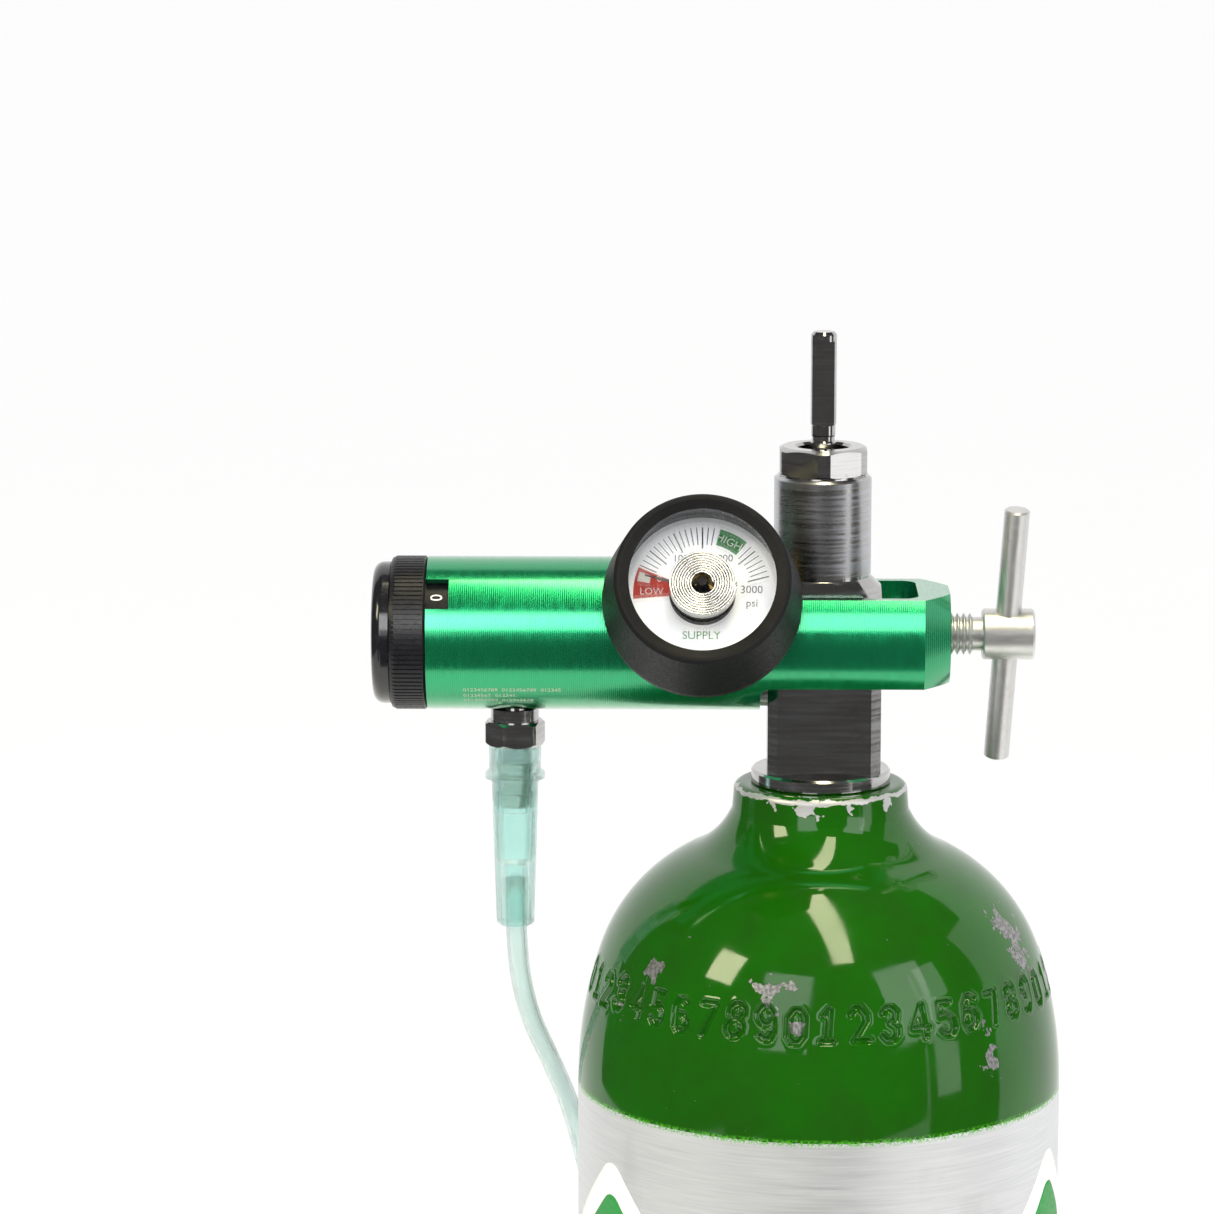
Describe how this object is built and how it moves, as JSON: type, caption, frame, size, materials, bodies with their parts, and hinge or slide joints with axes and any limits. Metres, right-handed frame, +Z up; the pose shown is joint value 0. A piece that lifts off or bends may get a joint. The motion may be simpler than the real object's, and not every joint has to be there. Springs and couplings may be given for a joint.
{
  "type": "oxygen cylinder",
  "caption": "Portable medical oxygen cylinder with post valve, yoke-clamped flow regulator with gauge, and a nasal cannula on its outlet.",
  "frame": {"origin": "centre of the cylinder's flat base, on the floor", "axes": "+Z up the cylinder's axis, -Y to the front that the gauge faces, -X towards the flow knob"},
  "size_m": [0.1576, 0.2286, 0.7536],
  "materials": {
    "painted_aluminium": "brushed, green painted shoulder",
    "chrome": "polished",
    "steel": "satin",
    "brass": "machined",
    "green_anodised": "anodised, fine turning lines",
    "black_metal": "satin black",
    "black_rubber": "matte",
    "white_seal": "matte",
    "dial_white": "satin print",
    "clear_lens": "clear",
    "teal_vinyl": "translucent",
    "pale_tubing": "translucent"
  },
  "bodies": {
    "cylinder": {"cylinder_shell": "painted_aluminium", "neck_oring": "black_rubber", "valve_body": "chrome", "packing_nut": "chrome", "stem_packing": "white_seal", "relief_plug": "brass", "burst_disc": "brass", "regulator_body": "green_anodised", "brass_sleeve": "brass", "inlet_nozzle": "brass", "inlet_filter": "brass", "yoke_washer": "white_seal", "index_pins": "steel", "piston_spring": "steel", "flow_block": "brass", "end_plug": "brass", "detent_balls": "steel", "gauge_socket": "brass", "gauge_case": "black_metal", "gauge_dial": "dial_white", "bourdon_coil": "brass", "gauge_lens": "clear_lens", "gauge_boot": "black_rubber", "outlet_barb": "chrome", "tubing_connector": "teal_vinyl", "supply_tube": "pale_tubing", "supply_coil": "pale_tubing", "supply_tail": "pale_tubing", "lariat_coil": "pale_tubing", "lariat_leads": "pale_tubing", "tube_slide": "pale_tubing", "nosepiece": "pale_tubing"},
    "spindle": {"valve_spindle": "chrome"},
    "plug": {"valve_plug": "brass", "plug_seat": "white_seal"},
    "selector": {"flow_knob": "black_metal", "indicator_drum": "black_metal", "knob_cap": "black_metal", "knob_screw": "steel", "selector_shaft": "steel", "orifice_plate": "brass"},
    "pointer": {"gauge_pointer": "black_metal"},
    "thrust_tip": {"screw_tip": "steel"},
    "clamp_screw": {"yoke_screw": "steel", "t_bar": "steel"},
    "piston": {"piston": "brass", "piston_oring": "black_rubber", "piston_seat": "white_seal"}
  },
  "joints": [
    {"name": "spindle_turn", "type": "hinge", "parent": "cylinder", "child": "spindle", "pos_m": [0, 0, 0.72], "axis": [0, 0, 1], "range_deg": [0, 720]},
    {"name": "plug_rise", "type": "slide", "parent": "spindle", "child": "plug", "axis": [0, 0, 1], "range_m": [0, 0.003]},
    {"name": "flow_turn", "type": "hinge", "parent": "cylinder", "child": "selector", "pos_m": [-0.0938, 0, 0.6843], "axis": [1, 0, 0], "range_deg": [0, 330]},
    {"name": "pointer_swing", "type": "hinge", "parent": "cylinder", "child": "pointer", "pos_m": [-0.0273, 0, 0.6843], "axis": [0, 0.891, -0.454], "range_deg": [0, 150], "stiffness_Nm_per_rad": 0.0001},
    {"name": "tip_slide", "type": "slide", "parent": "cylinder", "child": "thrust_tip", "axis": [1, 0, 0], "range_m": [0, 0.0063]},
    {"name": "screw_turn", "type": "hinge", "parent": "thrust_tip", "child": "clamp_screw", "pos_m": [0.0424, 0, 0.6843], "axis": [1, 0, 0], "range_deg": [0, 1620]},
    {"name": "piston_slide", "type": "slide", "parent": "cylinder", "child": "piston", "axis": [1, 0, 0], "range_m": [0, 0.0008], "stiffness_N_per_m": 2000, "springref_m": -0.004, "deforming": ["piston_spring"]}
  ],
  "couplings": [
    {"joint": "spindle_turn", "follows": "plug_rise", "rad_per_m": 4188.8},
    {"joint": "screw_turn", "follows": "tip_slide", "rad_per_m": 4488}
  ]
}
